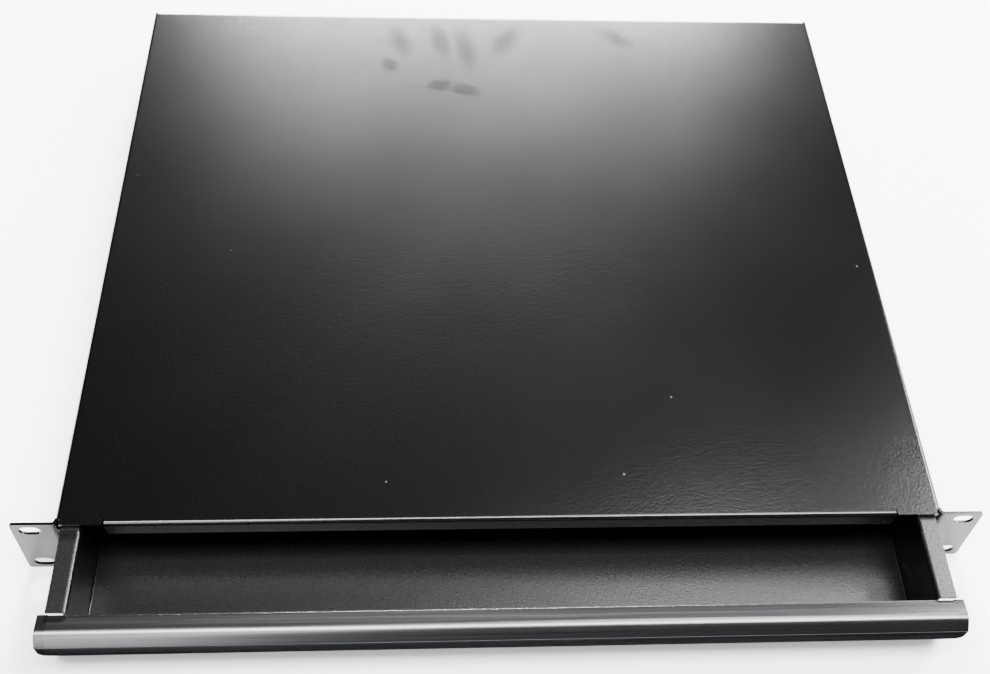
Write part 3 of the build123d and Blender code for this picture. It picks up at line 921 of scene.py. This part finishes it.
class RACKDRAWER_OT_camera(bpy.types.Operator):
    """Stand the camera where the photograph was taken."""

    bl_idname = "rackdrawer.camera"
    bl_label = "Camera"

    def execute(self, context):
        lens = bpy.data.cameras.new("camera")
        lens.sensor_width = SENSOR_WIDTH
        lens.lens = FOCAL_LENGTH_IN_PIXELS / PHOTO_WIDTH * SENSOR_WIDTH
        lens.shift_x = (PHOTO_MIDDLE_IN_PIXELS[0] - OPTICAL_CENTRE_IN_PIXELS[0]) / PHOTO_WIDTH
        lens.shift_y = (OPTICAL_CENTRE_IN_PIXELS[1] - PHOTO_MIDDLE_IN_PIXELS[1]) / PHOTO_WIDTH
        lens.clip_start = 0.01
        camera = bpy.data.objects.new("camera", lens)
        context.scene.collection.objects.link(camera)
        camera.location = CAMERA_PLACE
        looking = Vector(CAMERA_AIM) - Vector(CAMERA_PLACE)
        camera.rotation_mode = "QUATERNION"
        rolled = Matrix.Rotation(CAMERA_ROLL, 3, "Z").to_quaternion()
        camera.rotation_quaternion = looking.to_track_quat("-Z", "Y") @ rolled
        context.scene.camera = camera
        return {"FINISHED"}


class RACKDRAWER_OT_stage(bpy.types.Operator):
    """Lay the pale floor and hang the soft studio lights."""

    bl_idname = "rackdrawer.stage"
    bl_label = "Stage"

    def execute(self, context):
        sizes, colours = settings()
        level = cad_box[0].z - 0.0002
        reach = sizes.floor_reach
        mesh = bpy.data.meshes.new("floor")
        corners = [(-reach, -reach), (reach, -reach), (reach, reach), (-reach, reach)]
        mesh.from_pydata([(x, y, level) for x, y in corners], [], [(0, 1, 2, 3)])
        mesh.materials.append(finish(pale_floor, colours, sizes))
        floor = bpy.data.objects.new("floor", mesh)
        context.scene.collection.objects.link(floor)
        world = bpy.data.worlds.new("studio")
        world.use_nodes = True
        world.node_tree.nodes["Background"].inputs["Color"].default_value = (1.0, 1.0, 1.0, 1.0)
        world.node_tree.nodes["Background"].inputs["Strength"].default_value = 0.01
        context.scene.world = world
        for name, place, aim, width, height, power in (
            ("window_behind", (0.077, 2.0, 0.9), (0.1, 0.35, 0.0), 1.02, 0.24, 350.0),
            ("softbox_above", (0.22, -0.42, 2.3), (0.22, -0.41, 0.0), 2.6, 0.75, 300.0),
            ("softbox_right", (0.79, 0.5, 2.56), (0.1, 0.0, 0.0), 1.28, 0.79, 60.0),
            ("reflector_right", (1.1, 0.63, 1.0), (0.1, -0.05, 0.0), 0.38, 0.66, 48.0),
            ("softbox_front", (-0.56, -1.2, 1.45), (-0.16, -0.06, 0.0), 0.5, 1.8, 36.0),
            ("fill_front", (0.7, -2.3, 1.5), (0.1, -0.06, 0.0), 3.0, 1.8, 4.0),
            ("side_left", (-2.2, -0.8, 1.3), (-0.1, -0.05, 0.0), 1.0, 1.0, 15.0),
            ("side_right", (2.2, -0.8, 1.3), (0.1, -0.05, 0.0), 1.0, 1.0, 15.0),
        ):
            lamp = bpy.data.lights.new(name, "AREA")
            lamp.shape = "RECTANGLE"
            lamp.size = width
            lamp.size_y = height
            lamp.energy = power
            light = bpy.data.objects.new(name, lamp)
            context.scene.collection.objects.link(light)
            light.location = place
            light.rotation_mode = "QUATERNION"
            light.rotation_quaternion = (Vector(aim) - Vector(place)).to_track_quat("-Z", "Y")
        return {"FINISHED"}


class RACKDRAWER_OT_case(bpy.types.Operator):
    """Coat the cover and the base of the case."""

    bl_idname = "rackdrawer.case"
    bl_label = "Case"

    def execute(self, context):
        sizes, colours = settings()
        coat_nodes(("case_cover", "case_base"), finish(case_powder_coat, colours, sizes))
        return {"FINISHED"}


class RACKDRAWER_OT_tray(bpy.types.Operator):
    """Coat the drawer tray."""

    bl_idname = "rackdrawer.tray"
    bl_label = "Tray"

    def execute(self, context):
        sizes, colours = settings()
        coat_nodes(("drawer_tray",), finish(tray_powder_coat, colours, sizes))
        return {"FINISHED"}


class RACKDRAWER_OT_handle(bpy.types.Operator):
    """Finish the handle bar and its end caps."""

    bl_idname = "rackdrawer.handle"
    bl_label = "Handle bar"

    def execute(self, context):
        sizes, colours = settings()
        low, high = node_islands("handle_bar")[0]
        end = node_islands("handle_end_cap_right")[0][1].x
        half = end - CAP_LENGTH
        outlines = (bar_outline(0.0, LIP_REACH), inner_corners(bar_outline(0.0), sizes.bar_wall))
        place = Matrix.Translation((0.0, high.y, 0.0)) @ Matrix(
            ((0.0, 0.0, -1.0, 0.0), (-1.0, 0.0, 0.0, 0.0), (0.0, 1.0, 0.0, 0.0), (0.0, 0.0, 0.0, 1.0))
        )
        values = {"Length": 2 * half, "Finish": finish(anodised_bar, colours, sizes)}
        start = outline_curve("bar_outline", outlines)
        bar = run_tree(start, "drawn_bar", once("Drawn Bar", bar_tree), values, place)
        pieces = [(bar, "handle_bar", "black_anodised")]
        plastic = finish(cap_plastic, colours, sizes)
        for side, label in ((-1, "left"), (1, "right")):
            cap = end_cap(label + "_cap", side, end, high.y, CAP_LENGTH, plastic)
            pieces.append((cap, "handle_end_cap_" + label, "end_cap_plastic"))
        for piece, node, slot in pieces:
            smooth_by_angle(piece.data, 25.0)
            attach(piece, "drawer")
            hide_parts(node)
        return {"FINISHED"}


class RACKDRAWER_OT_slides(bpy.types.Operator):
    """Finish the slide members, cages, balls and bumpers."""

    bl_idname = "rackdrawer.slides"
    bl_label = "Ball slides"

    def execute(self, context):
        sizes, colours = settings()
        sides = ("left", "right")
        members = [part + side for part in ("slide_outer_", "slide_inner_") for side in sides]
        coat_nodes(members + ["base_nuts"], finish(zinc_plating, colours, sizes))
        coat_nodes(["slide_cage_" + side for side in sides], finish(pressed_cage_steel, colours, sizes))
        coat_nodes(["slide_balls_" + side for side in sides], finish(polished_balls, colours, sizes))
        coat_nodes(["slide_bumper_" + side for side in sides], finish(bumper_rubber, colours, sizes))
        return {"FINISHED"}


class RACKDRAWER_OT_screws(bpy.types.Operator):
    """Drive the pan-head screws of the case and of the drawer."""

    bl_idname = "rackdrawer.screws"
    bl_label = "Screws"

    def execute(self, context):
        sizes, colours = settings()
        steel = finish(blackened_steel, colours, sizes)
        right = Vector((1.0, 0.0, 0.0))
        back = Vector((0.0, 1.0, 0.0))

        def outwards(low, high):
            """Sideways out of the case, or backwards at its rear."""
            if high.x - low.x < high.y - low.y:
                return back
            return right if high.x > 0 else -right

        def inwards(low, high):
            """Sideways into the tray."""
            return -right if high.x > 0 else right

        for name, nodes, body, outward, head, rise, shank, recess in (
            ("case_slide_screws", ("slide_screws_left", "slide_screws_right"), "case", outwards,
             sizes.slide_screw_head, sizes.slide_screw_rise, sizes.slide_screw_shank, 0.0009),
            ("case_base_screws", ("base_screws",), "case", outwards,
             sizes.base_screw_head, sizes.base_screw_rise, sizes.base_screw_shank, 0.0007),
            ("tray_slide_screws", ("tray_screws_left", "tray_screws_right"), "drawer", inwards,
             sizes.slide_screw_head, sizes.slide_screw_rise, sizes.slide_screw_shank, 0.0009),
            ("bar_screws", ("handle_screws",), "drawer", lambda low, high: back,
             sizes.bar_screw_head, sizes.bar_screw_rise, sizes.slide_screw_shank, 0.0009),
        ):
            low, high = node_islands(nodes[0])[0]
            axis = Vector(map(abs, outward(low, high)))
            length = (high - low).dot(axis) - rise
            seats = [seat for node in nodes for seat in screw_seats(node, outward, length)]
            values = {
                "Head Radius": head,
                "Head Height": rise,
                "Shank Radius": shank,
                "Shank Length": length,
                "Recess Width": recess,
                "Recess Depth": 0.62 * rise,
            }
            set_screws(name, seats, values, steel, body, nodes)
        return {"FINISHED"}


OPERATORS = (
    RACKDRAWER_OT_camera,
    RACKDRAWER_OT_stage,
    RACKDRAWER_OT_case,
    RACKDRAWER_OT_tray,
    RACKDRAWER_OT_handle,
    RACKDRAWER_OT_slides,
    RACKDRAWER_OT_screws,
)


class RACKDRAWER_PT_panel(bpy.types.Panel):
    """Lists the drawer's pieces, sizes and colours."""

    bl_idname = "RACKDRAWER_PT_panel"
    bl_label = "Rack Drawer"
    bl_space_type = "VIEW_3D"
    bl_region_type = "UI"
    bl_category = "Rack Drawer"

    def draw(self, context):
        for operator in OPERATORS:
            self.layout.operator(operator.bl_idname)
        for group in settings():
            column = self.layout.column()
            for name in group.__annotations__:
                column.prop(group, name)


CLASSES = (RackDrawerSizes, RackDrawerColours) + OPERATORS + (RACKDRAWER_PT_panel,)


def register():
    """Adds the classes, sizes and colours."""
    for item in CLASSES:
        bpy.utils.register_class(item)
    bpy.types.Scene.rack_drawer_sizes = bpy.props.PointerProperty(type=RackDrawerSizes)
    bpy.types.Scene.rack_drawer_colours = bpy.props.PointerProperty(type=RackDrawerColours)


def unregister():
    """Takes the classes, sizes and colours away."""
    del bpy.types.Scene.rack_drawer_colours
    del bpy.types.Scene.rack_drawer_sizes
    for item in reversed(CLASSES):
        bpy.utils.unregister_class(item)


def main():
    """Builds everything in order."""
    register()
    for operator in OPERATORS:
        group, name = operator.bl_idname.split(".")
        getattr(getattr(bpy.ops, group), name)()


if __name__ == "__main__":
    main()
